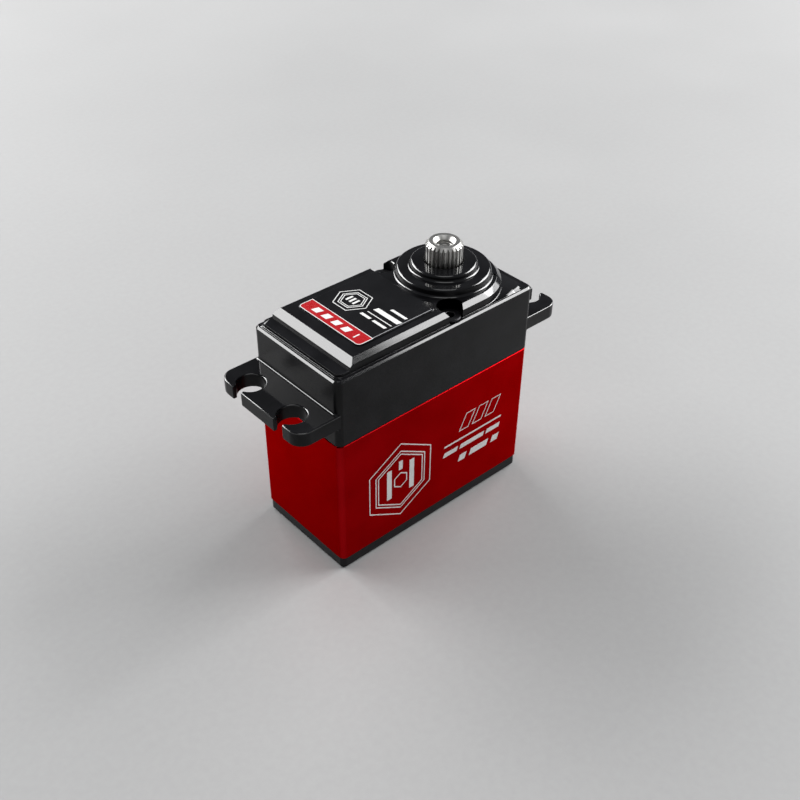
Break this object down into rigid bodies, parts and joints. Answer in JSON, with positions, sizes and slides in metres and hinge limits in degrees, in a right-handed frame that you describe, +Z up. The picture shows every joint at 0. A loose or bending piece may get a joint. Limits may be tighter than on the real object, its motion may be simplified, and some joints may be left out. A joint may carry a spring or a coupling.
{
  "type": "servo motor",
  "caption": "Metal-cased servo motor with mounting ears, a splined output shaft driven through a full gear train, a brushed motor, position sensor and drive board.",
  "frame": {"origin": "middle of the case's footprint, on the face it stands on", "axes": "+X from the motor's end of the case towards the output shaft's end, +Y across the width, +Z up along the output shaft towards its free end"},
  "size_m": [0.0548, 0.0202, 0.0454],
  "materials": {
    "black_anodised": "glossy black anodised, polished top faces, bright chamfers",
    "red_anodised": "satin red anodised",
    "label_film": "printed black film with a red end strip",
    "black_screw": "black oxide",
    "steel": "machined",
    "brass": "machined",
    "rubber": "moulded, matte",
    "motor_can": "plated",
    "magnet": "sintered ferrite",
    "plastic": "moulded",
    "copper": "enamelled winding and copper bars",
    "carbon": "pressed carbon",
    "core_steel": "laminated",
    "board": "solder-masked glass fibre"
  },
  "bodies": {
    "case": {"top_case": "black_anodised", "middle_case": "red_anodised", "bottom_cover": "black_anodised", "top_label": "label_film", "case_screw_1": "black_screw", "case_screw_2": "black_screw", "case_screw_3": "black_screw", "case_screw_4": "black_screw", "top_screw_left": "black_screw", "top_screw_right": "black_screw", "motor_screw_left": "steel", "motor_screw_right": "steel", "cable_grommet": "rubber", "gear_pin": "steel", "upper_bearing_outer_race": "steel", "lower_bearing_outer_race": "steel", "motor_can": "motor_can", "motor_end_bell": "plastic", "motor_front_bush": "brass", "motor_rear_bush": "brass", "motor_magnet_left": "magnet", "motor_magnet_right": "magnet", "motor_brush_left": "carbon", "motor_brush_right": "carbon", "motor_terminal_left": "brass", "motor_terminal_right": "brass", "potentiometer_body": "plastic", "circuit_board": "board", "control_chip": "plastic", "driver_chip_left": "plastic", "driver_chip_right": "plastic", "filter_capacitor": "motor_can"},
    "motor_rotor": {"motor_shaft": "steel", "armature_core": "core_steel", "motor_coil_1": "copper", "motor_coil_2": "copper", "motor_coil_3": "copper", "motor_coil_4": "copper", "motor_coil_5": "copper", "commutator": "copper", "motor_pinion": "brass"},
    "first_gear": {"first_gear_wheel": "brass", "first_gear_pinion": "steel"},
    "second_gear": {"second_gear_wheel": "brass", "second_gear_pinion": "steel"},
    "third_gear": {"third_gear_wheel": "steel", "third_gear_pinion": "steel"},
    "output": {"output_shaft": "steel", "output_gear": "steel", "upper_bearing_inner_race": "steel", "lower_bearing_inner_race": "steel", "potentiometer_shaft": "steel"},
    "upper_cage": {"upper_bearing_ball_cage": "steel"},
    "lower_cage": {"lower_bearing_ball_cage": "steel"}
  },
  "joints": [
    {"name": "motor_spin", "type": "hinge", "parent": "case", "child": "motor_rotor", "pos_m": [-0.0092, 0, 0.03], "axis": [0, 0, 1], "range_deg": [-11108.57, 11108.57]},
    {"name": "first_gear_spin", "type": "hinge", "parent": "case", "child": "first_gear", "pos_m": [-0.0002, 0, 0.03], "axis": [0, 0, 1], "range_deg": [-2779.14, 2779.14]},
    {"name": "second_gear_spin", "type": "hinge", "parent": "case", "child": "second_gear", "pos_m": [0.0098, 0, 0.03], "axis": [0, 0, 1], "range_deg": [-695.29, 695.29]},
    {"name": "third_gear_spin", "type": "hinge", "parent": "case", "child": "third_gear", "pos_m": [-0.0002, 0, 0.03], "axis": [0, 0, 1], "range_deg": [-270.5, 270.5]},
    {"name": "output_turn", "type": "hinge", "parent": "case", "child": "output", "pos_m": [0.0098, 0, 0.03], "axis": [0, 0, 1], "range_deg": [-90.1, 90.1]},
    {"name": "upper_cage_spin", "type": "hinge", "parent": "case", "child": "upper_cage", "pos_m": [0.0098, 0, 0.03], "axis": [0, 0, 1], "range_deg": [-38.35, 38.35]},
    {"name": "lower_cage_spin", "type": "hinge", "parent": "case", "child": "lower_cage", "pos_m": [0.0098, 0, 0.03], "axis": [0, 0, 1], "range_deg": [-36.1, 36.1]}
  ],
  "couplings": [
    {"joint": "first_gear_spin", "follows": "motor_spin", "ratio": -0.25},
    {"joint": "second_gear_spin", "follows": "motor_spin", "ratio": 0.0625},
    {"joint": "third_gear_spin", "follows": "motor_spin", "ratio": -0.024306},
    {"joint": "output_turn", "follows": "motor_spin", "ratio": 0.0081019},
    {"joint": "upper_cage_spin", "follows": "motor_spin", "ratio": 0.0034433},
    {"joint": "lower_cage_spin", "follows": "motor_spin", "ratio": 0.0032407}
  ]
}
